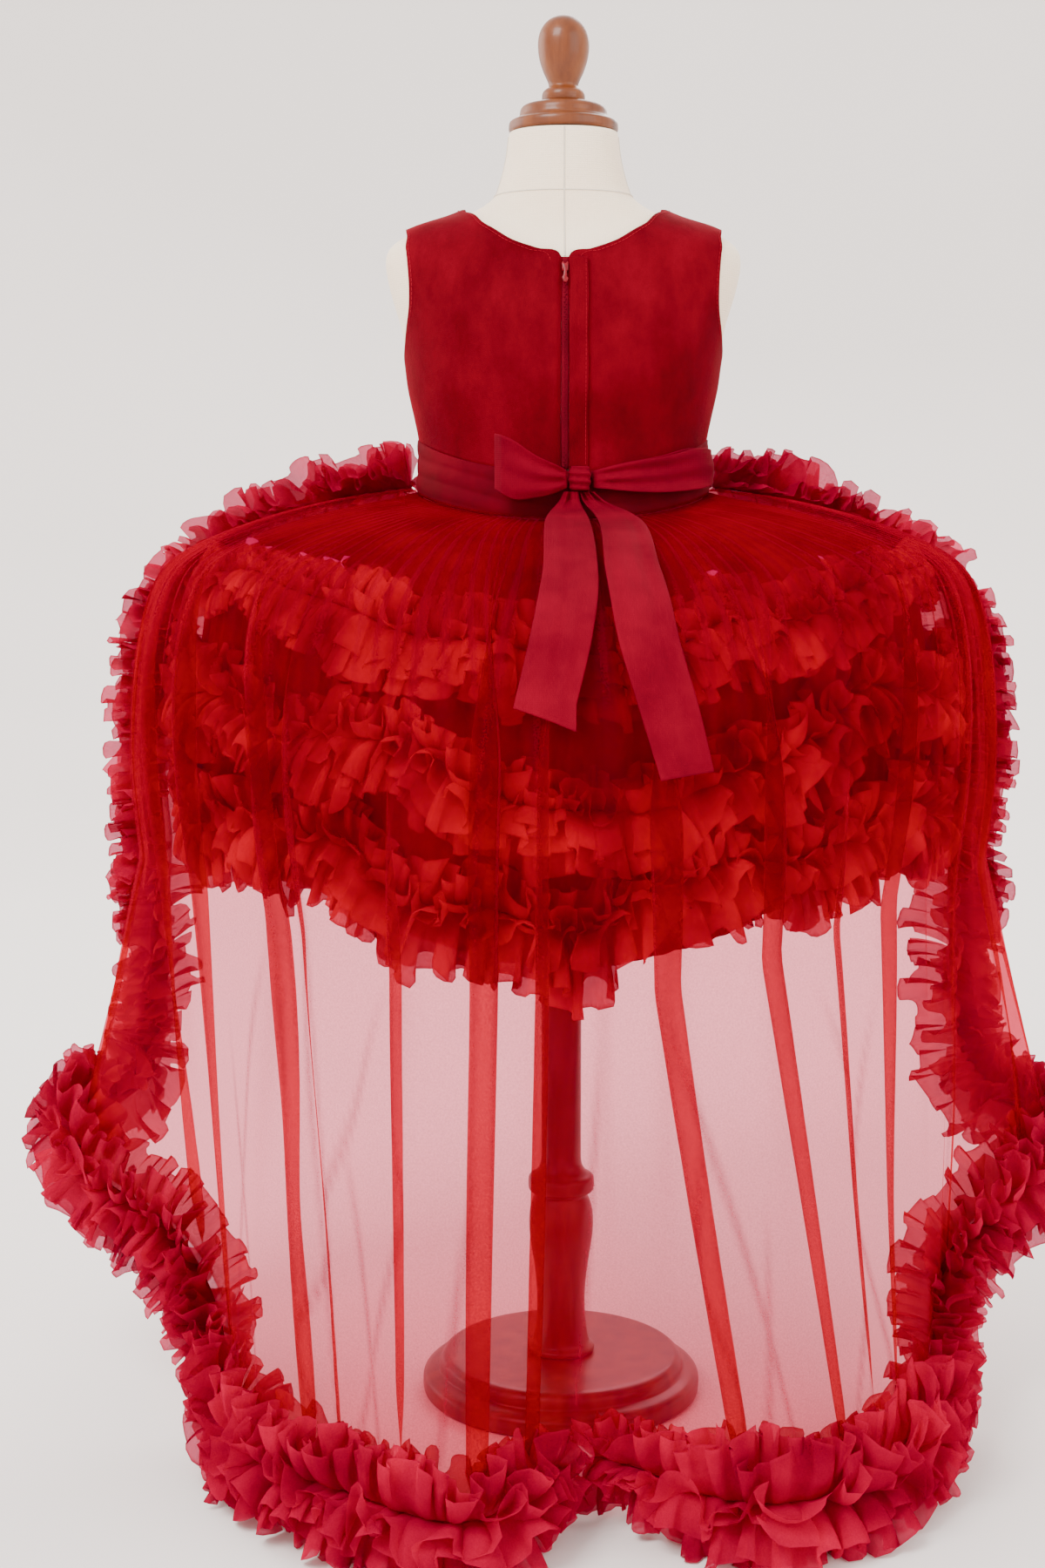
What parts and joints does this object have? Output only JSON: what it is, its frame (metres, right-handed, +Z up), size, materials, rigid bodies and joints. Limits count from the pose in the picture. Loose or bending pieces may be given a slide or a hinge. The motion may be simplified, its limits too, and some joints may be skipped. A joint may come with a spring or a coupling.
{
  "type": "high-low dress on a dress form",
  "caption": "Girl's sleeveless party dress with a ruffled dome skirt, waist bow and sheer ruffle-edged train, worn by a limbless dress form on a turned wooden stand.",
  "frame": {"origin": "middle of the underside of the stand's base, on the floor", "axes": "+Z up, -Y out of the back of the dress with its zip and bow, +X to the right of somebody looking at the back"},
  "size_m": [0.77, 0.5906, 0.956],
  "materials": {
    "wood": "varnished, glossy",
    "linen": "plain woven cover, matt",
    "velvet": "short pile velvet",
    "sash": "soft pleated cloth",
    "bow": "double layered tulle, matt",
    "underskirt": "gathered netting, matt",
    "ruffle": "gathered netting, matt",
    "sheer_tulle": "single sheer layer",
    "zip_metal": "red lacquered",
    "zip_tape": "woven tape"
  },
  "bodies": {
    "dress_and_form": {"stand_base": "wood", "stand_post": "wood", "neck_cap": "wood", "finial": "wood", "form_torso": "linen", "bodice_front": "velvet", "bodice_back_left": "velvet", "bodice_back_right": "velvet", "zip_tape": "zip_tape", "zip_placket": "velvet", "zip_slider": "zip_metal", "sash_band": "sash", "bow_loop_left": "bow", "bow_loop_right": "bow", "bow_knot": "bow", "bow_tail_left": "bow", "bow_tail_right": "bow", "underskirt": "underskirt", "ruffle_tier_1": "ruffle", "ruffle_tier_2": "ruffle", "ruffle_tier_3": "ruffle", "train": "sheer_tulle", "trim_left_front": "ruffle", "trim_left_hem": "ruffle", "trim_right_front": "ruffle", "trim_right_hem": "ruffle"},
    "zip_pull": {"zip_pull": "zip_metal"}
  },
  "joints": [
    {"name": "zip_pull_swing", "type": "hinge", "parent": "dress_and_form", "child": "zip_pull", "pos_m": [0, -0.0736, 0.783], "axis": [-1, 0, 0], "range_deg": [0, 150]}
  ]
}
